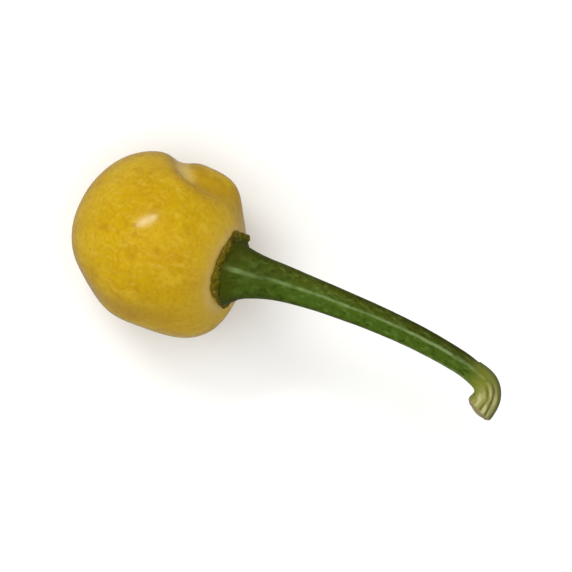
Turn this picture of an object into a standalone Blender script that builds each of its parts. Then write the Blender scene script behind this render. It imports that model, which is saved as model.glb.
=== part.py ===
"""A wiri wiri pepper lying on its side: a round, lobed fruit on a small flat spot, the toothed calyx that caps
its stem end, and a ribbed pedicel that ends in a hook. Metres, +Z up, stem end towards +X."""

import math

import bmesh
import bpy
from mathutils import Matrix, Vector

MM = 0.001
NAME = "wiri_wiri_pepper"

# The fruit's middle, which centres the whole pepper over the origin and stands its flat spot on Z = 0
FRUIT_CENTRE = Vector((-13.66, -0.26, 8.35)) * MM
# The fruit's own axis runs to its stem end, a little to the left of +X and upwards
AXIS_TURN = math.radians(6.5)
AXIS_RISE = math.radians(24.0)
# The gap that parts two pieces which grow together on a real pepper
CLEARANCE = 0.25 * MM

# Fruit: its plain radius, and each swell or hollow by its angle from the stem end, its angle round the axis,
# its height and its spread
FRUIT_RADIUS = 8.60 * MM
SWELLS = (
    (51.0, 209.0, 1.25 * MM, 22.0),
    (82.0, 187.0, -0.60 * MM, 20.0),
    (59.0, -6.0, 0.66 * MM, 10.5),
    (126.0, 18.0, 0.38 * MM, 22.0),
    (125.0, 159.0, -0.62 * MM, 15.0),
    (50.0, 95.0, 0.30 * MM, 20.0),
    (88.0, 270.0, 0.36 * MM, 27.0),
    (33.0, -30.0, -0.30 * MM, 15.0),
)
# Furrows by their angle round the axis where they turn back, how fast they bend away from it, their depth, and
# their half width before and past their middle
FURROWS = (
    (28.5, 0.0335, 0.95 * MM, 8.0, 5.4),
    (152.0, 0.002, 0.25 * MM, 9.0, 9.0),
    (298.0, -0.002, 0.40 * MM, 9.0, 9.0),
)
# Angles from the stem end: where furrows turn back, where they are deepest, and how far they reach
FURROW_TURN = 69.0
FURROW_MIDDLE = 82.0
FURROW_REACH = 22.0
# The recess that the calyx sits in, and the scar at the blossom end: depth and spread
RECESS_DEPTH = 0.95 * MM
RECESS_SPREAD = 12.5
SCAR_DEPTH = 0.35 * MM
SCAR_SPREAD = 5.0
FRUIT_SEGMENTS = 84
FRUIT_RINGS = 46

# Calyx: a turned collar, listed as radius and height along the fruit's axis, from the middle of its top face
# down its outer side, with six small teeth round its rim
CALYX_TOP = 8.90 * MM
CALYX_PROFILE = (
    (0.0, CALYX_TOP),
    (2.65 * MM, CALYX_TOP),
    (2.88 * MM, 8.80 * MM),
    (2.96 * MM, 8.62 * MM),
    (3.12 * MM, 8.50 * MM),
    (3.38 * MM, 8.40 * MM),
    (3.58 * MM, 8.24 * MM),
    (3.66 * MM, 8.02 * MM),
    (3.60 * MM, 7.78 * MM),
    (3.42 * MM, 7.50 * MM),
    (0.0, 6.60 * MM),
)
CALYX_SEGMENTS = 72
# Each tooth's angle round the axis, its reach past the rim and its lift away from the fruit
TEETH = (
    (-7.0, 0.25 * MM, 0.60 * MM),
    (24.0, 0.34 * MM, 0.05 * MM),
    (76.0, 0.20 * MM, 0.05 * MM),
    (135.0, 0.20 * MM, 0.03 * MM),
    (202.0, 0.50 * MM, 0.05 * MM),
    (290.0, 0.32 * MM, 0.10 * MM),
)
TOOTH_SPREAD = 8.0
# Teeth grow from this share of the rim's radius outwards, and their tips drop by this share of their reach
TOOTH_ROOT = 0.8
TOOTH_DROOP = 0.35

# Pedicel: its middle line starts on the fruit's axis, under the calyx's top, and then follows its own route,
# in millimetres from the fruit's middle
PEDICEL_ROOT = 8.30 * MM
PEDICEL_ROUTE = (
    (9.90, 1.44, 4.40),
    (13.00, 2.05, 5.35),
    (17.20, 2.56, 6.10),
    (21.60, 2.93, 6.25),
    (26.00, 3.08, 5.85),
    (30.20, 2.91, 5.00),
    (32.35, 2.56, 4.42),
    (33.85, 2.06, 4.05),
    (34.54, 1.05, 3.83),
    (34.44, -0.31, 3.62),
)
PEDICEL_STEP = 0.55 * MM
# How finely each stretch of the route is read before its points are evenly spaced
ROUTE_PARTS = 20
# Its radius is that of the shank, which grows a little towards the calyx, plus a long taper and a short flare:
# size at the calyx's rim, and reach
SHANK_RADIUS = 0.97 * MM
SHANK_GROWTH = 0.43 * MM
TAPER = (1.25 * MM, 4.2 * MM)
FLARE = (0.80 * MM, 1.1 * MM)
FLARE_START = 8.1 * MM
# The knob at its end: how far back it starts, how much wider its end is, and how late it widens
KNOB_LENGTH = 4.4 * MM
KNOB_GROWTH = 0.52 * MM
KNOB_CURVE = 1.2
# The end face is a low dome, by the distance past the end and the share of its radius there
DOME = ((0.20 * MM, 0.86), (0.34 * MM, 0.60), (0.42 * MM, 0.30))
# It leans this much from square to the middle line, and the points before it lean less
END_LEAN = math.radians(-14.0)
END_WIDTH = 3.0 * MM
END_REACH = 0.6 * MM
# Low ribs run along it, as a share of its radius, one of them along its top
RIBS = 5
RIB_HEIGHT = 0.08
RIB_TURN = math.radians(-18.0)
SECTION_POINTS = 25

SHARP_ANGLE = math.radians(40.0)
MERGE_DISTANCE = 0.001 * MM

# Finishes: colour and roughness
RIPE_SKIN = ((0.58, 0.34, 0.015), 0.25)
GREEN_SEPALS = ((0.055, 0.075, 0.012), 0.6)
GREEN_STALK = ((0.105, 0.15, 0.03), 0.5)


def clear_scene():
    for thing in list(bpy.data.objects):
        bpy.data.objects.remove(thing)
    for mesh in list(bpy.data.meshes):
        bpy.data.meshes.remove(mesh)


def collection(name):
    made = bpy.data.collections.new(name)
    bpy.context.scene.collection.children.link(made)
    return made


def material(name, finish):
    colour, roughness = finish
    made = bpy.data.materials.new(name)
    made.use_nodes = True
    shader = made.node_tree.nodes["Principled BSDF"]
    shader.inputs["Base Color"].default_value = (*colour, 1.0)
    shader.inputs["Roughness"].default_value = roughness
    shader.inputs["Metallic"].default_value = 0.0
    return made


def add(name, mesh, into, finish=None, place=None):
    made = bpy.data.objects.new(name, mesh)
    into.objects.link(made)
    if finish:
        made.data.materials.append(finish)
    if place:
        made.matrix_world = place
    return made


def guide(name, data, into):
    """An object that only shapes others: it is not a piece of the pepper."""
    made = add(name, data, into)
    made.hide_render = True
    made.display_type = "WIRE"
    return made


def smooth(mesh):
    mesh.shade_smooth()
    mesh.set_sharp_from_angle(angle=SHARP_ANGLE)


def axis_frame():
    """The fruit's own frame: X across its axis and level, Y across it and upwards, Z along it to the stem end."""
    along = Vector((math.cos(AXIS_TURN), math.sin(AXIS_TURN), 0.0)) * math.cos(AXIS_RISE)
    along.z = math.sin(AXIS_RISE)
    level = Vector((-math.sin(AXIS_TURN), math.cos(AXIS_TURN), 0.0))
    turn = Matrix((level, along.cross(level), along)).transposed().to_4x4()
    return Matrix.Translation(FRUIT_CENTRE) @ turn


def direction(polar, around):
    """A unit vector by its angle from the stem end and its angle round the axis, in degrees."""
    polar, around = math.radians(polar), math.radians(around)
    x = math.sin(polar) * math.cos(around)
    y = math.sin(polar) * math.sin(around)
    return Vector((x, y, math.cos(polar)))


def bell(value, spread):
    return math.exp(-0.5 * (value / spread) ** 2)


def turn_between(around, line):
    """How far one angle round the axis is from another, from -180 to 180 degrees."""
    return (around - line + 180.0) % 360.0 - 180.0


def furrow_depth(polar, around):
    total = 0.0
    past_turn = polar - FURROW_TURN
    shrink = math.sin(math.radians(polar))
    for line, bend, depth, width_before, width_past in FURROWS:
        offset = turn_between(around, line - bend * past_turn**2)
        slant = 2 * bend * past_turn * shrink
        across = offset * shrink / math.hypot(1.0, slant)
        half_width = width_past if offset > 0.0 else width_before
        total += depth * bell(across, half_width) * bell(polar - FURROW_MIDDLE, FURROW_REACH)
    return total


def fruit_radius(heading):
    """The fruit's surface: how far it is from the fruit's middle along a unit vector."""
    polar = math.degrees(heading.angle(Vector((0.0, 0.0, 1.0))))
    around = math.degrees(math.atan2(heading.y, heading.x))
    radius = FRUIT_RADIUS
    for swell_polar, swell_around, height, spread in SWELLS:
        off = math.degrees(heading.angle(direction(swell_polar, swell_around)))
        radius += height * bell(off, spread)
    radius -= furrow_depth(polar, around)
    radius -= RECESS_DEPTH * bell(polar, RECESS_SPREAD)
    radius -= SCAR_DEPTH * bell(180.0 - polar, SCAR_SPREAD)
    return radius


def fruit_mesh(name, extra):
    """The whole fruit in its own frame, with this much added all over."""
    shell = bmesh.new()
    bmesh.ops.create_uvsphere(
        shell, u_segments=FRUIT_SEGMENTS, v_segments=FRUIT_RINGS, radius=1.0
    )
    for vertex in shell.verts:
        heading = vertex.co.normalized()
        vertex.co = heading * (fruit_radius(heading) + extra)
    mesh = bpy.data.meshes.new(name)
    shell.to_mesh(mesh)
    shell.free()
    return mesh


def cut_flat(mesh, point, normal):
    """Cuts off what lies past a plane and closes the cut with one flat face."""
    shell = bmesh.new()
    shell.from_mesh(mesh)
    cut = bmesh.ops.bisect_plane(
        shell,
        geom=shell.verts[:] + shell.edges[:] + shell.faces[:],
        plane_co=point,
        plane_no=normal,
        clear_outer=True,
    )
    rim = [item for item in cut["geom_cut"] if isinstance(item, bmesh.types.BMEdge)]
    bmesh.ops.contextual_create(shell, geom=rim)
    bmesh.ops.recalc_face_normals(shell, faces=shell.faces[:])
    shell.to_mesh(mesh)
    shell.free()


def make_fruit(parts, frame):
    mesh = fruit_mesh("fruit", 0.0)
    down = frame.to_3x3().inverted() @ Vector((0.0, 0.0, -1.0))
    cut_flat(mesh, down * FRUIT_CENTRE.z, down)
    smooth(mesh)
    return add("fruit", mesh, parts, material("ripe_yellow_skin", RIPE_SKIN), frame)


def turned(name, profile, segments):
    """A mesh turned about Z from a profile of radius and height."""
    outline = bpy.data.meshes.new(name + "_profile")
    points = [(radius, 0.0, height) for radius, height in profile]
    outline.from_pydata(points, [(i, i + 1) for i in range(len(points) - 1)], [])
    helper = add(name + "_profile", outline, bpy.context.scene.collection)
    screw = helper.modifiers.new("turn", "SCREW")
    screw.steps = segments
    screw.render_steps = segments
    screw.use_merge_vertices = True
    screw.merge_threshold = MERGE_DISTANCE
    graph = bpy.context.evaluated_depsgraph_get()
    mesh = bpy.data.meshes.new_from_object(helper.evaluated_get(graph))
    bpy.data.objects.remove(helper)
    return mesh


def shape_teeth(mesh):
    """Draws the rim out into teeth: those near the widest part of the collar move most."""
    rim_radius = max(radius for radius, _ in CALYX_PROFILE)
    for vertex in mesh.vertices:
        radius = vertex.co.xy.length
        share = (radius / rim_radius - TOOTH_ROOT) / (1.0 - TOOTH_ROOT)
        if share <= 0.0:
            continue
        around = math.degrees(math.atan2(vertex.co.y, vertex.co.x))
        for at, reach, lift in TEETH:
            pull = share * bell(turn_between(around, at), TOOTH_SPREAD)
            vertex.co.xy *= 1.0 + reach * pull / radius
            vertex.co.z += (lift - TOOTH_DROOP * reach) * pull


def make_calyx(parts, guides, frame):
    mesh = turned("calyx", CALYX_PROFILE, CALYX_SEGMENTS)
    shape_teeth(mesh)
    smooth(mesh)
    calyx = add("calyx", mesh, parts, material("dark_green_sepals", GREEN_SEPALS), frame)
    fruit_room = guide("fruit_room", fruit_mesh("fruit_room", CLEARANCE), guides)
    fruit_room.matrix_world = frame
    trim = calyx.modifiers.new("follow_fruit", "BOOLEAN")
    trim.operation = "DIFFERENCE"
    trim.solver = "EXACT"
    trim.object = fruit_room
    return calyx


def fine_route(points):
    """A close row of points along a Catmull-Rom curve through the given ones."""
    ends = [2 * points[0] - points[1], *points, 2 * points[-1] - points[-2]]
    fine = []
    for before, start, end, after in zip(ends, ends[1:], ends[2:], ends[3:]):
        for part in range(ROUTE_PARTS):
            t = part / ROUTE_PARTS
            slope = (end - before) * t
            bend = (2 * before - 5 * start + 4 * end - after) * t**2
            turn = (3 * start - before - 3 * end + after) * t**3
            fine.append(start + 0.5 * (slope + bend + turn))
    return [*fine, points[-1]]


def even_route(points, step):
    """Points at an even step along the smooth curve through the given ones."""
    fine = fine_route(points)
    lengths = [0.0]
    for here, there in zip(fine, fine[1:]):
        lengths.append(lengths[-1] + (there - here).length)
    count = round(lengths[-1] / step)
    spaced, at = [], 0
    for i in range(count + 1):
        wanted = lengths[-1] * i / count
        while at < len(fine) - 2 and lengths[at + 1] < wanted:
            at += 1
        share = (wanted - lengths[at]) / (lengths[at + 1] - lengths[at])
        spaced.append(fine[at].lerp(fine[at + 1], min(share, 1.0)))
    return spaced


def pedicel_points(frame):
    """The pedicel's middle line, out of the calyx and along its own route."""
    route = [frame @ Vector((0.0, 0.0, PEDICEL_ROOT))]
    route += [FRUIT_CENTRE + Vector(point) * MM for point in PEDICEL_ROUTE]
    return even_route(route, PEDICEL_STEP)


def pedicel_radius(length, total):
    """The pedicel's radius this far along its middle line from the calyx's rim."""
    left = total - length
    shank = SHANK_RADIUS + SHANK_GROWTH * left / total
    taper = TAPER[0] * math.exp(-length / TAPER[1])
    flare = FLARE[0] * math.exp(-length / FLARE[1])
    knob = max(0.0, 1.0 - left / KNOB_LENGTH)
    return shank + taper + flare + KNOB_GROWTH * knob**KNOB_CURVE


def pedicel_sections(points):
    """Where the pedicel's sections stand and how wide they are, with those of its domed end."""
    start = PEDICEL_ROOT - FLARE_START
    total = start + PEDICEL_STEP * (len(points) - 1)
    sections = [(place, pedicel_radius(start + PEDICEL_STEP * i, total)) for i, place in enumerate(points)]
    tip, width = sections[-1]
    heading = (points[-1] - points[-2]).normalized()
    return sections + [(tip + heading * past, width * share) for past, share in DOME]


def rib_section(guides):
    """One ribbed outline of radius 1, which the pedicel's curve carries along."""
    section = bpy.data.curves.new("pedicel_section", "CURVE")
    section.dimensions = "2D"
    spline = section.splines.new("POLY")
    spline.points.add(SECTION_POINTS - 1)
    for i, point in enumerate(spline.points):
        around = 2 * math.pi * i / SECTION_POINTS
        radius = 1.0 + RIB_HEIGHT * math.cos(RIBS * around)
        point.co = (radius * math.cos(around), radius * math.sin(around), 0.0, 1.0)
    spline.use_cyclic_u = True
    return guide("pedicel_section", section, guides)


def sweep(sections, outline):
    """A curve that carries the outline along the sections, as wide as the pedicel is at each."""
    curve = bpy.data.curves.new("pedicel", "CURVE")
    curve.dimensions = "3D"
    curve.twist_mode = "Z_UP"
    curve.bevel_mode = "OBJECT"
    curve.bevel_object = outline
    curve.use_fill_caps = True
    spline = curve.splines.new("POLY")
    spline.points.add(len(sections) - 1)
    for point, (place, width) in zip(spline.points, sections):
        point.co = (*place, 1.0)
        point.radius = width
        point.tilt = RIB_TURN
    return curve


def weld(mesh):
    shell = bmesh.new()
    shell.from_mesh(mesh)
    bmesh.ops.remove_doubles(shell, verts=shell.verts[:], dist=MERGE_DISTANCE)
    bmesh.ops.recalc_face_normals(shell, faces=shell.faces[:])
    shell.to_mesh(mesh)
    shell.free()


def lean_end(mesh, tip, heading):
    """Slants the end face, so that its outer edge stands further out than the one inside the hook."""
    side = Vector((0.0, 0.0, 1.0)).cross(heading).normalized()
    for vertex in mesh.vertices:
        offset = vertex.co - tip
        if offset.length < END_WIDTH:
            share = math.exp(min(offset.dot(heading), 0.0) / END_REACH)
            vertex.co -= heading * offset.dot(side) * math.tan(END_LEAN) * share


def make_pedicel(parts, guides, frame):
    points = pedicel_points(frame)
    swept = add("pedicel_sweep", sweep(pedicel_sections(points), rib_section(guides)), guides)
    graph = bpy.context.evaluated_depsgraph_get()
    mesh = bpy.data.meshes.new_from_object(swept.evaluated_get(graph))
    bpy.data.objects.remove(swept)
    weld(mesh)
    lean_end(mesh, points[-1], (points[-1] - points[-2]).normalized())
    base = frame @ Vector((0.0, 0.0, CALYX_TOP + CLEARANCE))
    cut_flat(mesh, base, frame.to_3x3() @ Vector((0.0, 0.0, -1.0)))
    smooth(mesh)
    return add("pedicel", mesh, parts, material("green_stalk", GREEN_STALK))


def main():
    clear_scene()
    parts = collection(NAME)
    guides = collection(NAME + "_guides")
    frame = axis_frame()
    make_fruit(parts, frame)
    make_calyx(parts, guides, frame)
    make_pedicel(parts, guides, frame)


main()
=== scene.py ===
import math

import bpy
from mathutils import Matrix, Vector, noise
from mathutils.bvhtree import BVHTree


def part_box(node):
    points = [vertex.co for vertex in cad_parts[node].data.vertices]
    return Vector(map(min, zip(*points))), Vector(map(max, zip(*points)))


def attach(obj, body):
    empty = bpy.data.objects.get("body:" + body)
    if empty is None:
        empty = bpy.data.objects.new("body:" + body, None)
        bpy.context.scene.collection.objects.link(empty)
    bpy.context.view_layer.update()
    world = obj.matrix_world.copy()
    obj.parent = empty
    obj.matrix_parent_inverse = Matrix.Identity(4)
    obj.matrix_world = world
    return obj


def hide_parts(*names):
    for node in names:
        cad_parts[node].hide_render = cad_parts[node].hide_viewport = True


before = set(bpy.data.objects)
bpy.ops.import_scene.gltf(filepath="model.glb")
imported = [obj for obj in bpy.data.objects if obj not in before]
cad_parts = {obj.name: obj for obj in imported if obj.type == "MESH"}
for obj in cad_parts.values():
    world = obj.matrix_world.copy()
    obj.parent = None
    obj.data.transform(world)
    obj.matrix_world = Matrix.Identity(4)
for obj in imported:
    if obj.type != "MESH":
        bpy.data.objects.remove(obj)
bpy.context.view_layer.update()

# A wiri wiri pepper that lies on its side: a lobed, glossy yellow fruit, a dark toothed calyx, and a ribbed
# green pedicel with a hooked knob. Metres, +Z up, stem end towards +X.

MM = 0.001
BODY = "root"
SEED = 7.0
UP = Vector((0.0, 0.0, 1.0))

# The fruit's own frame: X across its axis and level, Y across it and upwards, Z along it to the stem end
AXIS_TURN = math.radians(6.5)
AXIS_RISE = math.radians(24.0)

# Fruit: its plain radius, and each swell or hollow by its angle from the stem end, its angle round the axis,
# its height and its spread
FRUIT_RADIUS = 8.60 * MM
SWELLS = (
    (51.0, 209.0, 1.25 * MM, 22.0),
    (82.0, 187.0, -0.60 * MM, 20.0),
    (59.0, -6.0, 0.66 * MM, 10.5),
    (126.0, 18.0, 0.38 * MM, 22.0),
    (125.0, 159.0, -0.62 * MM, 15.0),
    (50.0, 95.0, 0.30 * MM, 20.0),
    (88.0, 270.0, 0.36 * MM, 27.0),
    (33.0, -30.0, -0.30 * MM, 15.0),
    (26.0, 202.0, -0.45 * MM, 9.0),
)
# Furrows by their angle round the axis where they turn back, how fast they bend away from it, their depth,
# and their half width before and past their middle
FURROWS = (
    (28.5, 0.0335, 0.82 * MM, 8.0, 5.4),
    (152.0, 0.002, 0.25 * MM, 9.0, 9.0),
    (298.0, -0.002, 0.40 * MM, 9.0, 9.0),
)
DEEPEST_FURROW = max(depth for _, _, depth, _, _ in FURROWS)
# Angles from the stem end: where furrows turn back, where they are deepest, and how far they reach
FURROW_TURN = 69.0
FURROW_MIDDLE = 82.0
FURROW_REACH = 22.0
# How widely the recess at the stem end and the scar at the blossom end spread, in degrees
RECESS_SPREAD = 12.5
SCAR_SPREAD = 5.0
# The skin's low dents, by their width and the noise that makes them
DENT_WIDTH = 3.2 * MM
DENT_DETAIL = 1.5
DENT_ROUGHNESS = 0.45
# The small puckers that the calyx draws the skin into: how often they come round, how they drift with each
# degree from the stem end, and where they are and how far they spread, in degrees
PUCKER_RATE = 4.5
PUCKER_DRIFT = 0.012
PUCKER_POLAR = 25.0
PUCKER_SPREAD = 8.0
FRUIT_SIZES = {
    "Radius": FRUIT_RADIUS,
    "Recess depth": 0.95 * MM,
    "Scar depth": 0.35 * MM,
    "Dent height": 0.055 * MM,
    "Pucker height": 0.05 * MM,
    "Seed": SEED,
}
# How softly the skin turns into the flat spot that the fruit rests on
REST_SOFTNESS = 0.08 * MM
FRUIT_SEGMENTS = 300
FRUIT_RINGS = 170

# Calyx: a collar from the groove under the pedicel out to its rim, as thick as its crown and its edge
GROOVE_RADIUS = 2.62 * MM
RIM_RADIUS = 3.60 * MM
CROWN = 0.54 * MM
EDGE = 0.14 * MM
# Ripples along the rim, each by its height and how often it comes
RIM_RIPPLES = ((0.13 * MM, 2.6), (0.15 * MM, 7.0))
# The rim lifts off the fruit by this height: by this share of it everywhere, and more or less by a noise that
# comes this often
RIM_LIFT = 0.06 * MM
RIM_LIFT_SHARE = 0.5
RIM_LIFT_RATE = 3.7
# Each tooth or notch by its angle round the axis, its reach past the rim, its lift away from the fruit, and
# its spread
TEETH = (
    (-7.0, 0.22 * MM, 0.52 * MM, 8.0),
    (24.0, 0.34 * MM, 0.05 * MM, 8.0),
    (76.0, 0.14 * MM, 0.05 * MM, 8.0),
    (135.0, 0.14 * MM, 0.03 * MM, 9.0),
    (164.0, -0.25 * MM, 0.0, 7.0),
    (204.0, 0.52 * MM, 0.05 * MM, 7.0),
    (236.0, -0.42 * MM, 0.0, 17.0),
    (290.0, 0.32 * MM, 0.10 * MM, 9.0),
)
# The back follows a quarter circle from the groove to the rim, its width and height raised to these powers.
# Where the rim is lifted, the back rises more than the underside, which makes a raised tooth thicker
BACK_WIDTH_POWER = 0.85
BACK_HEIGHT_POWER = 0.62
BACK_LIFT = 1.3
# Folds down the back, by their height, how often they come round and how they drift outwards, and lumps on
# it, by their height and width. Both end before the rim, by this pace
FOLD_HEIGHT = 0.08 * MM
FOLD_RATE = 6.0
FOLD_DRIFT = 0.25
LUMP_HEIGHT = 0.15 * MM
LUMP_WIDTH = 0.36 * MM
BACK_RELIEF_PACE = 1.15
# The underside: how far and how fast the lip tucks in, how far back the underside reaches, and how deep in
# the skin it ends, in thicknesses of the edge
LIP_TUCK = 0.05 * MM
LIP_PACE = 3.0
UNDERSIDE_REACH = 0.9 * MM
UNDERSIDE_DEPTH = 3.0
CALYX_SEGMENTS = 480
CALYX_OUTSIDE = 26
CALYX_INSIDE = 8
# Well outside the fruit, to look for its skin from there
OUTSIDE_FRUIT = 0.02

# Pedicel: its middle line starts on the fruit's axis, under the calyx's crown, and then follows its own
# route, in millimetres from the fruit's middle
PEDICEL_ROOT = 8.30 * MM
PEDICEL_ROUTE = (
    (9.90, 1.44, 4.40),
    (13.00, 2.05, 5.35),
    (17.20, 2.56, 6.10),
    (21.60, 2.93, 6.25),
    (26.00, 3.08, 5.85),
    (30.20, 2.91, 5.00),
    (32.35, 2.56, 4.42),
    (33.85, 2.06, 4.05),
    (34.54, 1.05, 3.83),
    (34.44, -0.31, 3.62),
)
# Radii, and lengths along it. Ribs have their heights as shares of the radius, their width in degrees, and
# their drift in degrees a millimetre
PEDICEL_SIZES = {
    "Shank radius": 0.97 * MM,
    "Shank growth": 0.43 * MM,
    "Taper": 1.25 * MM,
    "Taper length": 4.2 * MM,
    "Flare": 0.80 * MM,
    "Flare length": 1.1 * MM,
    "Flare droop": 0.35,
    "Root radius": 2.95 * MM,
    "Root widening": 0.40 * MM,
    "Knob growth": 0.52 * MM,
    "Knob length": 4.4 * MM,
    "Bark step": 0.12 * MM,
    "Rib height": 0.055,
    "Rib drift": 0.75,
    "Crest height": 0.05,
    "Crest width": 7.0,
    "Streak relief": 0.016 * MM,
    "Lump relief": 0.06 * MM,
    "Dome height": 0.42 * MM,
    "Seed": SEED,
}
# How far along the fruit's axis the flare is widest, how the knob's swelling curves, and how softly the flare
# meets the root's radius
FLARE_START = 8.1 * MM
KNOB_CURVE = 1.2
ROOT_BLEND = 0.6 * MM
# The step in the bark before the knob: how far from the end and how long it is, how far from the end it has
# faded and is still whole, and how far to the side it starts and is whole, as shares of the radius
BARK_STEP_LEFT = 4.60 * MM
BARK_STEP_LENGTH = 0.2 * MM
BARK_FADE = (1.0 * MM, 3.6 * MM)
BARK_SIDES = (0.45, 0.9)
RIBS = 5
# How far the ribs turn round the pedicel, in degrees: all along it, near its root, and in a waver
RIB_TURN = 5.5
RIB_ROOT_TURN = 10.0
RIB_ROOT_REACH = 2.5 * MM
RIB_WAVER = 4.0
RIB_WAVER_LENGTH = 2.2 * MM
# How the ribs calm down towards the end and the root: over what length, and by what share
RIB_END_CALM = (1.6 * MM, 0.75)
RIB_ROOT_CALM = (1.8 * MM, 0.35)
# Streaks and lumps on it: how often they come round, how long they are, and how far the lumps reach
STREAK_RATE = 5.0
STREAK_LENGTH = 3.0 * MM
LUMP_RATE = 2.4
LUMP_LENGTH = 0.9 * MM
LUMP_REACH = 2.2 * MM
# The end: how it leans and over what length, its rounded edge, how far its face reaches down the sides, the
# power of its dome, its grain, and its ring, moat and pith, each by its place, its spread and its height
END_LEAN = math.radians(-14.0)
END_REACH = 0.6 * MM
END_EDGE = 0.12 * MM
END_FACE_REACH = 0.05 * MM
END_DOME_POWER = 2.3
END_GRAIN = 0.06 * MM
END_GRAIN_RATE = 3.0
END_RINGS = ((0.80, 0.07, 0.05 * MM), (0.60, 0.09, -0.05 * MM), (0.0, 0.16, 0.05 * MM))
PEDICEL_AROUND = 110
PEDICEL_ALONG = 340
PEDICEL_END_RINGS = 18
PEDICEL_ROUTE_STEPS = 24

# The looks of the finishes. A noise is given by the coordinates it follows, its scale, its seed and its
# detail. Scales on "place" are in waves a metre. Colours run from 0 to 255, as in a picture. A look has:
# - wraps: coordinates that go round the axis, by how often they do and by their pace along it
# - patterns: masks of noise, by the noise and the two values of it between which they fade in
# - edges: masks that follow a measure, by the measure, the noise that moves their edge and its strength, and
#   the two values of the measure between which they fade in
# - ground: a mask, and the colours where it is 0 and where it is 1
# - coats: from the lowest, the mask each shows through, how strongly it covers, and its colour
# - roughness: its plain value, and the noise on it and its strength
# - polish: masks that lower the roughness, and by how much
# - relief: its depth, and two noises, each with its strength and its own roughness
# - shader: what is the same all over the surface
SKIN_LOOK = {
    "wraps": {"streaks": (7.0, 1.1), "fine streaks": (16.0, 5.0)},
    "patterns": {
        "broad": ("heading", 1.7, 3.0, 3.0, -0.35, 0.35),
        "clouded": ("heading", 5.0, 5.0, 3.0, 0.0, 0.5),
        "mottled": ("place", 700.0, 2.0, 3.0, 0.0, 0.5),
        "streaked": ("streaks", 1.0, 2.0, 3.0, 0.0, 0.6),
        "finely streaked": ("fine streaks", 1.0, 1.0, 2.0, 0.0, 0.6),
        "pale grains": ("place", 2300.0, 1.0, 2.0, 0.0, 0.5),
        "dark grains": ("place", 2600.0, 3.0, 2.0, -0.1, 0.4),
    },
    "edges": {},
    "ground": ("broad", (186, 150, 0), (197, 163, 6)),
    "coats": (
        ("clouded", 0.85, (204, 172, 38)),
        ("mottled", 0.7, (170, 130, 0)),
        ("streaked", 0.6, (176, 133, 0)),
        ("finely streaked", 0.6, (208, 178, 60)),
        ("pale grains", 0.32, (210, 182, 70)),
        ("dark grains", 0.40, (160, 120, 0)),
        ("band near the calyx", 0.3, (212, 182, 80)),
        ("ring at the calyx", 0.6, (212, 184, 112)),
        # Darker in and beside the furrows: partly the skin's own colour, partly painted shade
        ("darker skin and painted shade beside the furrows", 0.5, (150, 108, 0)),
        ("darker skin and painted shade deep in the furrow near the stem", 0.55, (150, 112, 0)),
        # Painted reflection of bright surroundings on the upper slope of the furrow
        ("painted reflection on the furrow's upper slope", 0.55, (200, 172, 110)),
        ("blossom end", 0.4, (188, 160, 40)),
        ("blossom scar", 1.0, (96, 66, 30)),
        ("specks", 0.55, (128, 88, 20)),
    ),
    "roughness": (0.27, ("heading", 6.0, 9.0, 3.0, 0.05)),
    "polish": {},
    "relief": (0.012 * MM, ("place", 1500.0, 4.0, 4.0, 0.5, 0.6), ("place", 5200.0, 6.0, 2.0, 0.2, 0.5)),
    "shader": {
        "Specular IOR Level": 0.05,
        "Coat Weight": 0.40,
        "Coat Roughness": 0.15,
        "Subsurface Weight": 0.22,
        "Subsurface Radius": (1.0, 0.5, 0.12),
        "Subsurface Scale": 1.1 * MM,
    },
}
# Dark specks, in some cells of a net on the unit ball: the net's scale, how far from a cell's middle a speck
# ends and is whole, and the values between which a cell starts to have one
SPECK_SCALE = 15.0
SPECK_SIZE = (0.10, 0.04)
SPECK_CHOICE = (0.80, 0.82)

CALYX_LOOK = {
    "wraps": {"veins": (6.0, 0.8)},
    "patterns": {
        "veined": ("veins", 1.0, 2.0, 3.0, -0.4, 0.5),
        "pale mottling": ("place", 1500.0, 3.0, 3.0, 0.0, 0.5),
        "dark mottling": ("place", 1100.0, 9.0, 3.0, -0.1, 0.3),
        "dry specks": ("place", 2600.0, 5.0, 1.0, 0.3, 0.6),
    },
    "edges": {
        "green crown": ("out", "place", 1100.0, 6.0, 3.0, 0.6, 0.55, 0.2),
        "dry rim": ("out", "veins", 0.7, 8.0, 3.0, 0.4, 0.75, 1.1),
    },
    "ground": ("veined", (80, 68, 0), (104, 95, 6)),
    "coats": (
        ("pale mottling", 0.8, (114, 110, 26)),
        ("dark mottling", 0.85, (54, 44, 0)),
        ("green crown", 0.7, (68, 78, 6)),
        ("dry rim", 0.7, (94, 70, 8)),
        ("dry specks", 0.7, (164, 152, 92)),
    ),
    "roughness": (0.6, ("place", 2500.0, 4.0, 2.0, 0.1)),
    "polish": {},
    "relief": (0.05 * MM, ("place", 2600.0, 4.0, 4.0, 1.0, 0.65), ("veins", 2.5, 4.0, 3.0, 0.8, 0.5)),
    "shader": {"Specular IOR Level": 0.1},
}

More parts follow.
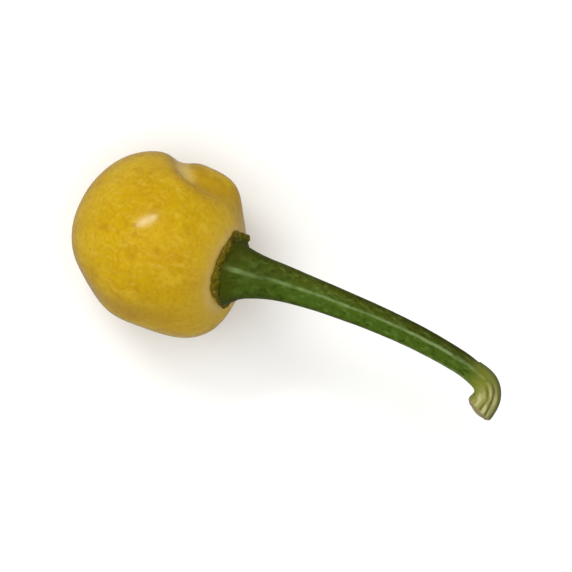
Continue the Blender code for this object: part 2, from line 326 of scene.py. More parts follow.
STALK_LOOK = {
    "wraps": {"fibres": (6.0, 0.22), "patches": (1.3, 0.5), "blots": (2.6, 1.2), "knob fibres": (5.0, 1.1)},
    "patterns": {
        "pale blots": ("blots", 1.0, 3.0, 3.0, -0.05, 0.4),
        "dark blots": ("blots", 1.7, 5.0, 3.0, 0.0, 0.4),
        "dark fibres": ("fibres", 1.4, 5.0, 3.0, 0.1, 0.7),
        "grains": ("place", 3000.0, 8.0, 2.0, 0.1, 0.6),
        # Pale crests: partly the ribs' own paler colour, partly a painted highlight along them
        "pale crests with painted highlight": ("blots", 0.8, 6.0, 3.0, -0.7, 0.4),
        # A pale band along the crest tops: partly the ribs' own colour, partly a painted highlight
        "pale crest band with painted highlight": ("blots", 1.6, 16.0, 3.0, 0.0, 0.5),
        "dark knob fibres": ("knob fibres", 1.0, 11.0, 3.0, 0.0, 0.5),
        "pale knob fibres": ("knob fibres", 1.3, 14.0, 3.0, 0.0, 0.5),
        "cream ridges": ("knob fibres", 0.9, 12.0, 2.0, -0.6, 0.2),
        "brown blotches": ("place", 1500.0, 12.0, 3.0, 0.0, 0.4),
    },
    "edges": {
        "one side": ("across", "patches", 1.0, 2.0, 2.0, 0.3, -0.25, 0.75),
        # Painted shade along both sides of the stalk, where it turns away from above
        "painted shade down each side": ("sideways", "blots", 1.3, 4.0, 2.0, 0.1, 0.72, 1.0),
        "flare": ("length", "blots", 0.7, 18.0, 3.0, 1.5, 7.5, 3.0),
        "foot": ("length", "blots", 1.2, 9.0, 3.0, 1.6, 1.9, 0.3),
        "knob": ("left", "patches", 0.8, 7.0, 2.0, 1.4, 6.2, 2.6),
        "scar": ("left", "blots", 1.5, 15.0, 2.0, 0.08, 0.26, 0.06),
    },
    "ground": ("one side", (62, 86, 14), (64, 72, 0)),
    "coats": (
        ("pale blots", 0.7, (88, 112, 44)),
        ("dark blots", 0.8, (38, 50, 0)),
        ("dark fibres", 0.4, (34, 48, 0)),
        ("grains", 0.5, (98, 112, 26)),
        # Partly the ribs' own paler green, partly a painted highlight along the crests
        ("pale crests with painted highlight", 0.7, (130, 150, 98)),
        # Pale band along the crest tops, partly a painted highlight
        ("pale crest band with painted highlight", 0.5, (108, 130, 70)),
        # Painted shade along both sides of the stalk
        ("painted shade down each side", 0.75, (34, 38, 0)),
        ("flare", 0.4, (46, 58, 0)),
        ("foot", 0.75, (54, 56, 0)),
        # Painted highlight on the upper crest near the root
        ("painted highlight near the root", 0.5, (116, 138, 84)),
        ("knob", 1.0, (114, 119, 42)),
        ("dark knob fibres", 0.6, (92, 92, 20)),
        ("pale knob fibres", 0.5, (150, 150, 76)),
        ("cream ridges", 0.78, (200, 194, 142)),
        # Painted shade in bands between the cream ridges on the knob
        ("painted shade between cream ridges", 0.75, (78, 76, 18)),
        # Painted shade along the knob's outer side
        ("painted shade on the knob's side", 0.8, (80, 86, 50)),
        ("brown blotches", 0.6, (146, 128, 78)),
        ("scar", 0.85, (160, 150, 112)),
        ("scar ring", 0.6, (96, 92, 60)),
        ("pith", 1.0, (190, 182, 136)),
    ),
    "roughness": (0.52, ("fibres", 2.0, 4.0, 2.0, 0.07)),
    "polish": {"pale crests with painted highlight": 0.06},
    "relief": (0.03 * MM, ("fibres", 2.6, 4.0, 4.0, 1.0, 0.6), ("place", 3600.0, 4.0, 3.0, 0.8, 0.5)),
    "shader": {
        "Specular IOR Level": 0.12,
        "Subsurface Weight": 0.06,
        "Subsurface Radius": (0.5, 1.0, 0.2),
        "Subsurface Scale": 0.3 * MM,
    },
}
# Cream ridges on the knob and dark bands of painted shade between them, by where they run across it, their
# spread and their strength, and the noise that makes them waver
CREAM_RIDGES = ((0.28, 0.09, 1.0), (0.68, 0.08, 1.0), (-0.40, 0.18, 0.8))
PAINTED_SHADE_BANDS = ((0.04, 0.07, 1.0), (0.48, 0.06, 1.0))
RIDGE_WAVER = ("patches", 1.6, 9.0, 2.0, 0.20)

# The photograph's view, straight down on the pepper and turned round the vertical
VIEW_TURN = math.radians(27.0)
CAMERA_HEIGHT = 0.8
VIEW_WIDTH = 55.0 * MM
SENSOR = 36.0
# From the fruit's middle to the middle of the view, to the right and up in the picture
VIEW_OFFSET = (12.1 * MM, -4.1 * MM)

FLOOR_SIZE = 3.0
FLOOR_DROP = 0.02 * MM
FLOOR_COLOUR = (0.92, 0.92, 0.915, 1.0)
FLOOR_ROUGHNESS = 0.9

# The key light: how it leans from straight above and which way in the picture, the slant of its long side
# there, its distance, size and power, and its colour
KEY_LEAN = math.radians(38.0)
KEY_SIDE = (-0.50, 0.866)
KEY_SLANT = math.radians(28.0)
KEY = (0.25, (0.14, 0.034), 0.212)
KEY_COLOUR = (1.0, 0.99, 0.95)
# The fill light: its direction in the picture, and its distance, size and power
FILL_SIDE = (-0.10, -0.08, 1.0)
FILL = (0.7, (1.3, 1.3), 7.1)
# The light from all round
STUDIO_COLOUR = (1.0, 0.99, 0.97, 1.0)
STUDIO_STRENGTH = 0.32

# Where a Mix node keeps its two colours and its result
MIX_FIRST, MIX_SECOND, MIX_RESULT = 6, 7, 2


class Field:
    """A value in a node tree. Arithmetic on it adds the nodes that work it out."""

    def __init__(self, tree, socket):
        self.tree = tree
        self.socket = socket

    def math(self, operation, *others):
        inputs = dict(enumerate((self, *others)))
        node = add_node(self.tree, "ShaderNodeMath", inputs, operation=operation)
        return Field(self.tree, node.outputs[0])

    def vector(self, operation, *others, output=0):
        inputs = dict(enumerate((self, *others)))
        node = add_node(self.tree, "ShaderNodeVectorMath", inputs, operation=operation)
        return Field(self.tree, node.outputs[output])

    def part(self, axis):
        node = add_node(self.tree, "ShaderNodeSeparateXYZ", {0: self})
        return Field(self.tree, node.outputs[axis])

    def flat(self):
        """A unit vector straight away from the Z axis."""
        return self.vector("MULTIPLY", (1.0, 1.0, 0.0)).vector("NORMALIZE")

    def scaled(self, factor):
        inputs = {"Vector": self, "Scale": factor}
        node = add_node(self.tree, "ShaderNodeVectorMath", inputs, operation="SCALE")
        return Field(self.tree, node.outputs[0])

    def link(self, socket):
        self.tree.links.new(self.socket, socket)

    def __add__(self, other):
        return self.math("ADD", other)

    def __sub__(self, other):
        return self.math("SUBTRACT", other)

    def __mul__(self, other):
        return self.math("MULTIPLY", other)

    def __truediv__(self, other):
        return self.math("DIVIDE", other)

    def __neg__(self):
        return self.math("MULTIPLY", -1.0)


def add_node(tree, kind, inputs=None, **settings):
    node = tree.nodes.new(kind)
    for name, value in settings.items():
        setattr(node, name, value)
    for key, value in (inputs or {}).items():
        if isinstance(value, Field):
            value.link(node.inputs[key])
        else:
            node.inputs[key].default_value = value
    return node


def combine(tree, x, y, z):
    node = add_node(tree, "ShaderNodeCombineXYZ", {0: x, 1: y, 2: z})
    return Field(tree, node.outputs[0])


def wrapped(spoke, rate, along):
    """Coordinates that go round an axis without a seam, from a spoke's direction and a place along it."""
    return combine(spoke.tree, spoke.part(0) * rate, spoke.part(1) * rate, along)


def bell(value, spread):
    """1 where the value is 0, falling off on both sides."""
    share = value / spread
    return (share * share * -0.5).math("EXPONENT")


def bells(value, rows, total=0.0):
    """A total, and bells added to it, by their places, spreads and heights."""
    for place, spread, height in rows:
        total = bell(value - place, spread) * height + total
    return total


def fading(value, reach):
    """1 where the value is 0, falling off as it grows."""
    return (-value / reach).math("EXPONENT")


def calmed(value, reach, share):
    """Less than 1 by a share where the value is 0, and 1 well past the reach."""
    return fading(value, reach) * -share + 1.0


def ramp(value, low, high):
    """0 below low and 1 above high, with a smooth rise between them."""
    inputs = {"Value": value, "From Min": low, "From Max": high}
    node = add_node(value.tree, "ShaderNodeMapRange", inputs, interpolation_type="SMOOTHSTEP")
    return Field(value.tree, node.outputs["Result"])


def cloud(place, scale, seed, detail, roughness=0.5):
    """Smooth noise from -1 to 1."""
    inputs = {"Vector": place, "W": seed, "Scale": scale, "Detail": detail, "Roughness": roughness}
    node = add_node(place.tree, "ShaderNodeTexNoise", inputs, noise_dimensions="4D")
    return Field(place.tree, node.outputs[0]) * 2.0 - 1.0


def angle_to(heading, pole):
    """The angle in degrees from a unit vector to a fixed one."""
    return heading.vector("DOT_PRODUCT", pole, output=1).math("ARCCOSINE").math("DEGREES")


def angle_round(place):
    """The angle in degrees round the Z axis."""
    return place.part(1).math("ARCTAN2", place.part(0)).math("DEGREES")


def turn_between(around, line):
    """How far one angle round the axis is from another, from -180 to 180 degrees."""
    return (around - line).math("WRAP", 180.0, -180.0)


def direction(polar, around):
    """A unit vector by its angle from the stem end and its angle round the axis, in degrees."""
    polar, around = math.radians(polar), math.radians(around)
    x = math.sin(polar) * math.cos(around)
    y = math.sin(polar) * math.sin(around)
    return Vector((x, y, math.cos(polar)))


class Shape:
    """A Geometry Nodes tree whose named inputs are sizes. bake() runs it once and gives the plain mesh."""

    def __init__(self, name, sizes):
        self.name = name
        self.sizes = sizes
        self.tree = bpy.data.node_groups.new(name, "GeometryNodeTree")
        sockets = self.tree.interface
        sockets.new_socket("Geometry", in_out="OUTPUT", socket_type="NodeSocketGeometry")
        sockets.new_socket("Geometry", in_out="INPUT", socket_type="NodeSocketGeometry")
        self.keys = {}
        for label in sizes:
            socket = sockets.new_socket(label, in_out="INPUT", socket_type="NodeSocketFloat")
            self.keys[label] = socket.identifier
        self.start = self.tree.nodes.new("NodeGroupInput")

    def __getitem__(self, label):
        return Field(self.tree, self.start.outputs[label])

    def run(self, kind, inputs=None, **settings):
        node = add_node(self.tree, kind, inputs, **settings)
        return Field(self.tree, node.outputs[0])

    def store(self, mesh, name, value, data_type="FLOAT_VECTOR"):
        """Keeps a value on the mesh's points, for its finish to read."""
        inputs = {"Geometry": mesh, "Name": name, "Value": value}
        return self.run("GeometryNodeStoreNamedAttribute", inputs, data_type=data_type, domain="POINT")

    def recall(self, name):
        """A vector that was kept on the mesh's points."""
        return self.run("GeometryNodeInputNamedAttribute", {"Name": name}, data_type="FLOAT_VECTOR")

    def close(self, mesh, finish):
        """Ends the tree with a plain, smooth mesh in its finish."""
        mesh = self.run("GeometryNodeRealizeInstances", {"Geometry": mesh})
        mesh = self.run("GeometryNodeSetShadeSmooth", {"Geometry": mesh, "Shade Smooth": True})
        mesh = self.run("GeometryNodeSetMaterial", {"Geometry": mesh, "Material": finish})
        end = self.tree.nodes.new("NodeGroupOutput")
        mesh.link(end.inputs["Geometry"])

    def bake(self, source):
        helper = bpy.data.objects.new(self.name + "_source", source)
        bpy.context.scene.collection.objects.link(helper)
        modifier = helper.modifiers.new("shape", "NODES")
        modifier.node_group = self.tree
        for label, size in self.sizes.items():
            modifier[self.keys[label]] = size
        graph = bpy.context.evaluated_depsgraph_get()
        mesh = bpy.data.meshes.new_from_object(helper.evaluated_get(graph))
        bpy.data.objects.remove(helper)
        return mesh


def furrow_depth(polar, around):
    """The depth of all furrows at one place on the fruit."""
    total = 0.0
    reach = bell(polar - FURROW_MIDDLE, FURROW_REACH)
    across = polar.math("RADIANS").math("SINE")
    past_turn = polar - FURROW_TURN
    for line, bend, depth, width_before, width_past in FURROWS:
        offset = turn_between(around, past_turn * past_turn * -bend + line)
        slant = past_turn * across * (2.0 * bend)
        square_to_it = (slant * slant + 1.0).math("SQRT")
        half_width = offset.math("GREATER_THAN", 0.0) * (width_past - width_before) + width_before
        total = bell(offset * across / square_to_it, half_width) * reach * depth + total
    return total


def fruit_reach(shape, heading, polar, around):
    """How far the skin is from the fruit's middle along a heading."""
    reach = shape["Radius"] - furrow_depth(polar, around)
    for swell_polar, swell_around, height, spread in SWELLS:
        off = angle_to(heading, direction(swell_polar, swell_around))
        reach += bell(off, spread) * height
    reach -= bell(polar, RECESS_SPREAD) * shape["Recess depth"]
    reach -= bell(polar * -1.0 + 180.0, SCAR_SPREAD) * shape["Scar depth"]
    return reach


def skin_relief(shape, heading, polar, around):
    """Low dents all over, and puckers that run out from the calyx."""
    dents = cloud(heading, FRUIT_RADIUS / DENT_WIDTH, shape["Seed"], DENT_DETAIL, DENT_ROUGHNESS)
    turn = around.math("RADIANS")
    ring = combine(shape.tree, turn.math("COSINE"), turn.math("SINE"), polar * PUCKER_DRIFT)
    puckers = cloud(ring, PUCKER_RATE, shape["Seed"], 1.0) * bell(polar - PUCKER_POLAR, PUCKER_SPREAD)
    return dents * shape["Dent height"] + puckers * shape["Pucker height"]


def fruit_mesh(finish):
    """The fruit in its own frame."""
    shape = Shape("fruit", FRUIT_SIZES)
    ball = {"Segments": FRUIT_SEGMENTS, "Rings": FRUIT_RINGS, "Radius": 1.0}
    mesh = shape.run("GeometryNodeMeshUVSphere", ball)
    heading = shape.run("GeometryNodeInputPosition").vector("NORMALIZE")
    polar = angle_to(heading, UP)
    around = angle_round(heading)
    mesh = shape.store(mesh, "heading", heading)
    mesh = shape.store(mesh, "furrow", furrow_depth(polar, around) / DEEPEST_FURROW, "FLOAT")
    heading = shape.recall("heading")
    reach = fruit_reach(shape, heading, polar, around) + skin_relief(shape, heading, polar, around)
    mesh = shape.run("GeometryNodeSetPosition", {"Geometry": mesh, "Position": heading.scaled(reach)})
    shape.close(mesh, finish)
    return shape.bake(bpy.data.meshes.new("fruit_source"))


def own_frame(mesh):
    """The fruit's own frame in the row frame, turned by its axis, and set where the fruit fills its box."""
    along = Vector((math.cos(AXIS_TURN), math.sin(AXIS_TURN), 0.0)) * math.cos(AXIS_RISE)
    along.z = math.sin(AXIS_RISE)
    level = Vector((-math.sin(AXIS_TURN), math.cos(AXIS_TURN), 0.0))
    turn = Matrix((level, along.cross(level), along)).transposed()
    places = [turn @ vertex.co for vertex in mesh.vertices]
    low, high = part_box("fruit")
    middle = (low + high) / 2
    for axis in (0, 1):
        middle[axis] -= (min(p[axis] for p in places) + max(p[axis] for p in places)) / 2
    middle.z = high.z - max(p.z for p in places)
    return Matrix.Translation(middle) @ turn.to_4x4()


def rest_softly(mesh):
    """Flattens what would lie under the floor, with a soft turn into the flat spot."""
    for vertex in mesh.vertices:
        z = vertex.co.z
        vertex.co.z = (z + math.hypot(z, REST_SOFTNESS)) / 2


def rim_at(around):
    """How far the calyx's rim reaches at this angle, and how far it is lifted off the fruit."""
    turn = math.radians(around)
    ring = Vector((math.cos(turn), math.sin(turn), SEED))
    reach = RIM_RADIUS
    for height, rate in RIM_RIPPLES:
        reach += height * noise.noise(ring * rate)
    lift = RIM_LIFT * (RIM_LIFT_SHARE + noise.noise(ring * RIM_LIFT_RATE))
    for at, tooth_reach, tooth_lift, spread in TEETH:
        off = (around - at + 180.0) % 360.0 - 180.0
        pull = math.exp(-0.5 * (off / spread) ** 2)
        reach += tooth_reach * pull
        lift += tooth_lift * pull
    return reach, lift


def back_relief(spoke, radius, share):
    """The folds and lumps on the calyx's back at one place, by its share of the way from groove to rim."""
    fold = noise.noise(Vector((spoke.x, spoke.y, FOLD_DRIFT * share)) * FOLD_RATE)
    lump = noise.noise(Vector((spoke.x * radius, spoke.y * radius, SEED * MM)) / LUMP_WIDTH)
    calm = math.sin(min(share * BACK_RELIEF_PACE, 1.0) * math.pi)
    return (FOLD_HEIGHT * fold + LUMP_HEIGHT * lump) * calm


def calyx_ring(step, skin):
    """One line of points down the calyx from the groove, over its rim and back under it."""
    around = 360.0 * step / CALYX_SEGMENTS
    turn = math.radians(around)
    reach, lift = rim_at(around)
    spoke = Vector((math.cos(turn), math.sin(turn), 0.0))
    rows = []
    for i in range(CALYX_OUTSIDE):
        share = i / (CALYX_OUTSIDE - 1)
        swing = share * math.pi / 2
        radius = GROOVE_RADIUS + (reach - GROOVE_RADIUS) * math.sin(swing) ** BACK_WIDTH_POWER
        rise = EDGE + (CROWN - EDGE) * math.cos(swing) ** BACK_HEIGHT_POWER
        rise += back_relief(spoke, radius, share)
        rise += BACK_LIFT * lift * math.sin(swing)
        rows.append((radius, rise, share))
    for i in range(1, CALYX_INSIDE + 1):
        share = i / CALYX_INSIDE
        tuck = LIP_TUCK * math.sin(min(LIP_PACE * share, 1.0) * math.pi / 2)
        radius = reach - tuck - UNDERSIDE_REACH * share**2
        rise = EDGE * (1.0 - UNDERSIDE_DEPTH * share) + lift * (1.0 - share) ** 2
        rows.append((radius, rise, 1.0))
    points = []
    for radius, rise, share in rows:
        foot = spoke * radius
        points.append((foot + Vector((0.0, 0.0, skin(foot) + rise)), Vector((spoke.x, spoke.y, share))))
    return points


def calyx_mesh(fruit, finish):
    """The calyx in the fruit's own frame, draped on the fruit's skin."""
    tree = BVHTree.FromPolygons([v.co for v in fruit.vertices], [p.vertices for p in fruit.polygons])

    def skin(foot):
        return tree.ray_cast(foot + UP * OUTSIDE_FRUIT, -UP)[0].z

    lines = [calyx_ring(step, skin) for step in range(CALYX_SEGMENTS)]
    rows = len(lines[0])
    points = [place for line in lines for place, _ in line]
    marks = [mark for line in lines for _, mark in line]
    faces = []
    for step in range(CALYX_SEGMENTS):
        here, there = step * rows, (step + 1) % CALYX_SEGMENTS * rows
        faces += [(here + i, here + i + 1, there + i + 1, there + i) for i in range(rows - 1)]
    for row, flip in ((0, False), (rows - 1, True)):
        ring = [step * rows + row for step in range(CALYX_SEGMENTS)]
        middle = sum((points[i] for i in ring), Vector()) / CALYX_SEGMENTS
        points.append(middle)
        marks.append(Vector((0.0, 0.0, float(flip))))
        for here, there in zip(ring, ring[1:] + ring[:1]):
            face = (len(points) - 1, here, there)
            faces.append(face[::-1] if flip else face)
    mesh = bpy.data.meshes.new("calyx")
    mesh.from_pydata(points, [], faces)
    skirt = mesh.attributes.new("skirt", "FLOAT_VECTOR", "POINT")
    skirt.data.foreach_set("vector", [value for mark in marks for value in mark])
    mesh.shade_smooth()
    mesh.materials.append(finish)
    return mesh


def route_mesh(place):
    """The pedicel's middle line, as a chain of edges in the row frame."""
    points = [place @ Vector((0.0, 0.0, PEDICEL_ROOT))]
    points += [place.translation + Vector(point) * MM for point in PEDICEL_ROUTE]
    mesh = bpy.data.meshes.new("pedicel_route")
    mesh.from_pydata(points, [(i, i + 1) for i in range(len(points) - 1)], [])
    return mesh


def pedicel_radius(shape, length, left, share_left, side):
    """The plain radius this far past the calyx's rim and before the end, on one side or the other."""
    radius = shape["Shank radius"] + share_left * shape["Shank growth"]
    radius += fading(length, shape["Taper length"]) * shape["Taper"]
    droop = side * shape["Flare droop"] * -1.0 + 1.0
    radius += fading(length, shape["Flare length"]) * shape["Flare"] * droop
    knob = (left / shape["Knob length"] * -1.0 + 1.0).math("MAXIMUM", 0.0)
    radius += knob.math("POWER", KNOB_CURVE) * shape["Knob growth"]
    bark = ramp(left, BARK_STEP_LEFT, BARK_STEP_LEFT - BARK_STEP_LENGTH) * ramp(left, *BARK_FADE)
    radius += bark * ramp(side, *BARK_SIDES) * shape["Bark step"]
    root = side * side * shape["Root widening"] + shape["Root radius"]
    return radius.math("SMOOTH_MIN", root, ROOT_BLEND)


def rib_relief(shape, around, length, left):
    """The share that ribs add to the radius, and how near each point is to a rib's crest."""
    turn = length / MM * shape["Rib drift"] - RIB_TURN + fading(length, RIB_ROOT_REACH) * RIB_ROOT_TURN
    waver = combine(shape.tree, length / RIB_WAVER_LENGTH, 0.0, 0.0)
    turn += cloud(waver, 1.0, shape["Seed"], 1.0) * RIB_WAVER
    off = turn_between((around - 90.0 + turn) * RIBS, 0.0) / RIBS
    crest = bell(off, shape["Crest width"])
    wave = (off * RIBS).math("RADIANS").math("COSINE") * shape["Rib height"]
    calm = calmed(left, *RIB_END_CALM) * calmed(length, *RIB_ROOT_CALM)
    return (wave + crest * shape["Crest height"]) * calm, crest * calm


def skin_streaks(shape, spoke, length, past_rim):
    """Low streaks along the pedicel, and lumps near its root."""
    streaks = cloud(wrapped(spoke, STREAK_RATE, length / STREAK_LENGTH), 1.0, shape["Seed"], 2.0)
    lumps = cloud(wrapped(spoke, LUMP_RATE, length / LUMP_LENGTH), 1.0, shape["Seed"], 2.0)
    near_root = fading(past_rim, LUMP_REACH)
    return streaks * shape["Streak relief"] + lumps * shape["Lump relief"] * near_root


def end_relief(shape, share, ring):
    """The callused face at the pedicel's end: a low dome, with a ring, a moat and a pith."""
    dome = (share.math("POWER", END_DOME_POWER) * -1.0 + 1.0) * shape["Dome height"]
    grain = cloud(ring, END_GRAIN_RATE, shape["Seed"], 3.0, 0.6) * END_GRAIN
    return bells(share, END_RINGS, dome) + grain


def pedicel_mesh(place, finish):
    """The pedicel in the row frame: a tube that follows its route, closed at both ends."""
    shape = Shape("pedicel", PEDICEL_SIZES)
    curve = shape.run("GeometryNodeMeshToCurve", {"Mesh": shape["Geometry"]})
    curve = shape.run("GeometryNodeCurveSplineType", {"Curve": curve}, spline_type="CATMULL_ROM")
    inputs = {"Geometry": curve, "Resolution": PEDICEL_ROUTE_STEPS}
    curve = shape.run("GeometryNodeSetSplineResolution", inputs)
    total = shape.run("GeometryNodeCurveLength", {"Curve": curve})
    tube = {
        "Vertices": PEDICEL_AROUND,
        "Side Segments": PEDICEL_ALONG,
        "Fill Segments": PEDICEL_END_RINGS,
        "Radius": 1.0,
        "Depth": 1.0,
    }
    mesh = shape.run("GeometryNodeMeshCylinder", tube, fill_type="TRIANGLE_FAN")
    mesh = shape.store(mesh, "start", shape.run("GeometryNodeInputPosition"))
    at = shape.recall("start")
    share = at.vector("MULTIPLY", (1.0, 1.0, 0.0)).vector("LENGTH", output=1)
    spoke = at.flat()
    across, above = spoke.part(0), spoke.part(1)
    length = (at.part(2) + 0.5) * total
    left = total - length
    past_rim = length + (PEDICEL_ROOT - FLARE_START)

    inputs = {"Curves": curve, "Length": length}
    sample = add_node(shape.tree, "GeometryNodeSampleCurve", inputs, mode="LENGTH")
    middle = Field(shape.tree, sample.outputs["Position"])
    heading = Field(shape.tree, sample.outputs["Tangent"]).vector("NORMALIZE")
    side = combine(shape.tree, 0.0, 0.0, 1.0).vector("CROSS_PRODUCT", heading).vector("NORMALIZE")
    up = heading.vector("CROSS_PRODUCT", side)

    ribs, crest = rib_relief(shape, angle_round(at), past_rim, left)
    reach = pedicel_radius(shape, past_rim, left, left / total, across) * (ribs + 1.0)
    reach += skin_streaks(shape, spoke, length, past_rim)
    reach -= fading(left, END_EDGE) * END_EDGE
    out = side.scaled(across).vector("ADD", up.scaled(above)).scaled(reach * share)
    lean = across * reach * share * fading(left, END_REACH) * -math.tan(END_LEAN)
    ring = combine(shape.tree, at.part(0), at.part(1), 0.0)
    push = lean + end_relief(shape, share, ring) * fading(left, END_FACE_REACH)
    position = middle.vector("ADD", out).vector("ADD", heading.scaled(push))
    mesh = shape.run("GeometryNodeSetPosition", {"Geometry": mesh, "Position": position})
    mesh = shape.store(mesh, "ring", combine(shape.tree, across, above, share))
    mesh = shape.store(mesh, "run", combine(shape.tree, length / MM, left / MM, crest))
    shape.close(mesh, finish)
    return shape.bake(route_mesh(place))


def colour(red, green, blue):
    """A colour in linear light, from the 0 to 255 values that a picture of it has."""
    shares = [value / 255 for value in (red, green, blue)]
    return (*(s / 12.92 if s <= 0.04045 else ((s + 0.055) / 1.055) ** 2.4 for s in shares), 1.0)


def mix(factor, first, second):
    """The first colour where the factor is 0, and the second where it is 1."""
    inputs = {"Factor": factor, MIX_FIRST: first, MIX_SECOND: second}
    node = add_node(factor.tree, "ShaderNodeMix", inputs, data_type="RGBA")
    return Field(factor.tree, node.outputs[MIX_RESULT])


def plain_material(name):
    made = bpy.data.materials.new(name)
    made.use_nodes = True
    return made, made.node_tree.nodes["Principled BSDF"]


class Finish:
    """A material made as its look says: coats of colour over each other, each shown through a mask."""

    def __init__(self, name, look):
        self.look = look
        self.made, self.shader = plain_material(name)
        self.tree = self.made.node_tree
        place = add_node(self.tree, "ShaderNodeTexCoord").outputs["Object"]
        self.places = {"place": Field(self.tree, place)}
        self.measures = {}
        self.masks = {}

    def attribute(self, name, output="Vector"):
        node = add_node(self.tree, "ShaderNodeAttribute", attribute_name=name)
        return Field(self.tree, node.outputs[output])

    def wrap(self, spoke, along):
        """Makes the look's coordinates that go round the axis."""
        for name, (rate, pace) in self.look["wraps"].items():
            self.places[name] = wrapped(spoke, rate, along * pace)

    def noise(self, follows, scale, seed, detail, strength, roughness=0.5):
        """A noise on coordinates that go by a name in the look."""
        return cloud(self.places[follows], scale, seed, detail, roughness) * strength

    def cut_masks(self):
        """Makes the look's patterns and edges, once all that they follow is there."""
        for name, (follows, scale, seed, detail, low, high) in self.look["patterns"].items():
            self.masks[name] = ramp(cloud(self.places[follows], scale, seed, detail), low, high)
        for name, (measure, *wander, low, high) in self.look["edges"].items():
            self.masks[name] = ramp(self.measures[measure] + self.noise(*wander), low, high)

    def limit(self, name, mask):
        """Keeps one of the look's masks only where the given one is."""
        self.masks[name] = mask * self.masks[name]

    def finished(self):
        """Lays the ground and the coats, sets the rest of the look, and gives the material."""
        mask, first, second = self.look["ground"]
        base = mix(self.masks[mask], colour(*first), colour(*second))
        for mask, strength, tint in self.look["coats"]:
            base = mix(self.masks[mask] * strength, base, colour(*tint))
        base.link(self.shader.inputs["Base Color"])

        plain, wander = self.look["roughness"]
        roughness = self.noise(*wander)
        for mask, amount in self.look["polish"].items():
            roughness -= self.masks[mask] * amount
        (roughness + plain).link(self.shader.inputs["Roughness"])

        depth, first, second = self.look["relief"]
        relief = {"Height": self.noise(*first) + self.noise(*second), "Distance": depth}
        bump = add_node(self.tree, "ShaderNodeBump", relief)
        self.tree.links.new(bump.outputs["Normal"], self.shader.inputs["Normal"])
        for socket, value in self.look["shader"].items():
            self.shader.inputs[socket].default_value = value
        return self.made


def specks(place):
    """A small round speck in some cells of a net."""
    inputs = {"Vector": place, "Scale": SPECK_SCALE}
    dots = add_node(place.tree, "ShaderNodeTexVoronoi", inputs, feature="F1")
    near = ramp(Field(place.tree, dots.outputs["Distance"]), *SPECK_SIZE)
    return near * ramp(Field(place.tree, dots.outputs["Color"]).part(0), *SPECK_CHOICE)


def ripe_skin():
    """Glossy golden skin: mottled, faintly streaked from end to end, paler round the calyx, darker with
    painted shade in the furrows, with a painted reflection on the upper furrow.
    """
    skin = Finish("ripe_yellow_skin", SKIN_LOOK)
    heading = skin.attribute("heading")
    skin.places["heading"] = heading
    skin.wrap(heading.flat(), heading.part(2))
    skin.cut_masks()

    # Angles are in degrees from the stem end or the blossom end, and a furrow is 1 where it is deepest
    polar = angle_to(heading, UP)
    blossom = polar * -1.0 + 180.0
    furrow = skin.attribute("furrow", "Fac")
    upper_side = ramp(heading.part(1), -0.1, 0.2)
    skin.limit("streaked", ramp(polar, 20.0, 60.0))
    skin.masks["band near the calyx"] = bell(polar - 31.0, 6.0)
    skin.masks["ring at the calyx"] = bell(polar - 26.5, 2.5)
    # Darker in and beside the furrows: partly the skin's own colour, partly painted shade
    skin.masks["darker skin and painted shade beside the furrows"] = bell(furrow - 0.35, 0.25)
    skin.masks["darker skin and painted shade deep in the furrow near the stem"] = ramp(furrow, 0.4, 0.8) * ramp(polar, 76.0, 64.0)
    # Painted reflection of bright surroundings on the furrow's upper slope, on the fruit's upper side
    skin.masks["painted reflection on the furrow's upper slope"] = ramp(furrow, 0.55, 0.95) * ramp(polar, 62.0, 82.0) * upper_side
    skin.masks["blossom end"] = bell(blossom, 15.0)
    skin.masks["blossom scar"] = ramp(blossom, 5.5, 2.5)
    skin.masks["specks"] = specks(heading)
    return skin.finished()


def calyx_green():
    """Dark, wrinkled green, brown and dry along the rim."""
    calyx = Finish("calyx_dark_green", CALYX_LOOK)
    skirt = calyx.attribute("skirt")
    calyx.measures["out"] = skirt.part(2)
    calyx.wrap(skirt, skirt.part(2))
    calyx.cut_masks()
    return calyx.finished()


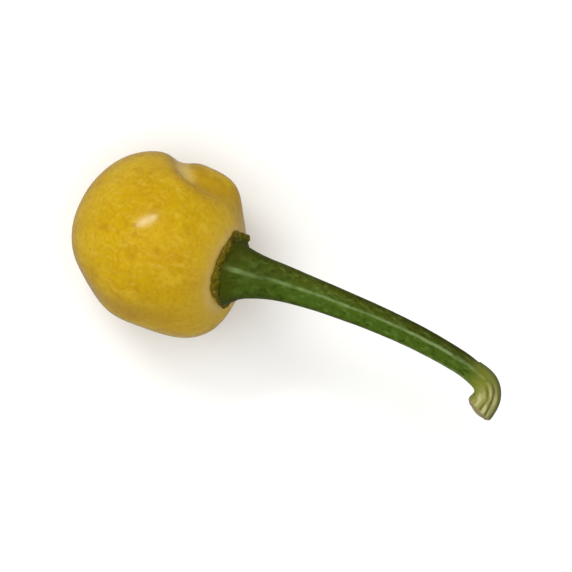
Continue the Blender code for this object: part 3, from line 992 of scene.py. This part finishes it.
def stalk_green():
    """Satin green with fine streaks, pale crests that carry a painted highlight and sides darkened by painted
    shade, turning yellow-green and cream at the knob.
    """
    stalk = Finish("pedicel_green", STALK_LOOK)
    ring = stalk.attribute("ring")
    run = stalk.attribute("run")
    across, above, share = ring.part(0), ring.part(1), ring.part(2)
    length, left, crest = run.part(0), run.part(1), run.part(2)
    stalk.measures["across"] = across
    stalk.measures["sideways"] = across.math("ABSOLUTE")
    stalk.measures["length"] = length
    stalk.measures["left"] = left
    stalk.wrap(ring, length)
    stalk.cut_masks()

    # Lengths are in millimetres, from the root or left to the end, and a crest is 1 on top of a rib
    knob, scar = stalk.masks["knob"], stalk.masks["scar"]
    # The crests are paler, partly by their own colour and partly by a painted highlight, broken up by patches
    stalk.limit("pale crests with painted highlight", ramp(ramp(left, 15.0, 6.0) * 0.3 + crest, 0.45, 1.15))
    # Painted highlight along the crest tops, over the ribs' own paler colour
    stalk.limit("pale crest band with painted highlight", bell(crest - 0.8, 0.3))
    # Painted highlight on the upper crest, a little past the root
    stalk.masks["painted highlight near the root"] = bell(length - 1.35, 0.42) * ramp(crest, 0.5, 0.78) * ramp(above, 0.6, 0.9)
    stalk.limit("dark knob fibres", knob)
    stalk.limit("pale knob fibres", knob)
    over = across + stalk.noise(*RIDGE_WAVER)
    stalk.limit("cream ridges", bells(over, CREAM_RIDGES) * ramp(left, 3.4, 1.2))
    # Dark bands of painted shade between the cream ridges
    stalk.masks["painted shade between cream ridges"] = bells(over, PAINTED_SHADE_BANDS) * ramp(left, 3.2, 2.0)
    # Painted shade along the knob's outer side, where it turns away from above
    stalk.masks["painted shade on the knob's side"] = ramp(across, 0.84, 0.98) * knob
    stalk.limit("brown blotches", ramp(left, 2.4, 0.5))
    stalk.masks["scar ring"] = bell(share - 0.95, 0.07) * scar
    stalk.masks["pith"] = ramp(share, 0.5, 0.2) * scar
    return stalk.finished()


def show(name, mesh, node):
    """Puts a finished mesh in the scene in place of a CAD node."""
    piece = bpy.data.objects.new(name, mesh)
    bpy.context.scene.collection.objects.link(piece)
    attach(piece, BODY)
    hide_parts(node)


def make_pepper():
    """The three pieces. Gives the fruit's middle, which the camera and the lights are set by."""
    fruit = fruit_mesh(ripe_skin())
    place = own_frame(fruit)
    calyx = calyx_mesh(fruit, calyx_green())
    pedicel = pedicel_mesh(place, stalk_green())
    fruit.transform(place)
    calyx.transform(place)
    rest_softly(fruit)
    show("fruit_skin", fruit, "fruit")
    show("calyx_collar", calyx, "calyx")
    show("pedicel_stalk", pedicel, "pedicel")
    return place.translation


def picture_direction(right, up, towards=0.0):
    """A direction in the row frame, from the photograph's right and up, and out of it towards the camera."""
    turn = Matrix.Rotation(VIEW_TURN, 3, "Z")
    return turn @ Vector((right, up, towards))


def make_camera(middle):
    data = bpy.data.cameras.new("camera")
    data.sensor_width = SENSOR
    data.lens = SENSOR * (CAMERA_HEIGHT - middle.z) / VIEW_WIDTH
    camera = bpy.data.objects.new("camera", data)
    bpy.context.scene.collection.objects.link(camera)
    aim = middle + picture_direction(*VIEW_OFFSET)
    camera.location = (aim.x, aim.y, CAMERA_HEIGHT)
    camera.rotation_euler = (0.0, 0.0, VIEW_TURN)
    bpy.context.scene.camera = camera


def make_floor():
    finish, shader = plain_material("pale_floor")
    shader.inputs["Base Color"].default_value = FLOOR_COLOUR
    shader.inputs["Roughness"].default_value = FLOOR_ROUGHNESS
    bpy.ops.mesh.primitive_plane_add(size=FLOOR_SIZE, location=(0.0, 0.0, -FLOOR_DROP))
    floor = bpy.context.object
    floor.name = "floor"
    floor.data.materials.append(finish)
    floor.visible_glossy = False


def area_light(name, about, towards, long_axis, distance, size, power):
    """An oval soft light that faces the pepper, with its long side along a direction in the picture."""
    data = bpy.data.lights.new(name, "AREA")
    data.shape = "ELLIPSE"
    data.size, data.size_y = size
    data.energy = power
    lamp = bpy.data.objects.new(name, data)
    bpy.context.scene.collection.objects.link(lamp)
    back = towards.normalized()
    across = (long_axis - long_axis.project(back)).normalized()
    turn = Matrix((across, back.cross(across), back)).transposed()
    lamp.matrix_world = Matrix.Translation(about + back * distance) @ turn.to_4x4()
    return lamp


def make_lights(middle):
    right, up = KEY_SIDE
    towards = picture_direction(right * math.sin(KEY_LEAN), up * math.sin(KEY_LEAN), math.cos(KEY_LEAN))
    long_axis = picture_direction(math.cos(KEY_SLANT), math.sin(KEY_SLANT))
    key = area_light("key", middle, towards, long_axis, *KEY)
    key.data.color = KEY_COLOUR
    fill = area_light("fill", middle, picture_direction(*FILL_SIDE), long_axis, *FILL)
    fill.visible_glossy = False
    world = bpy.data.worlds.new("studio")
    world.use_nodes = True
    background = world.node_tree.nodes["Background"]
    background.inputs["Color"].default_value = STUDIO_COLOUR
    background.inputs["Strength"].default_value = STUDIO_STRENGTH
    bpy.context.scene.world = world
    bpy.context.scene.view_settings.view_transform = "Standard"


middle = make_pepper()
make_camera(middle)
make_floor()
make_lights(middle)
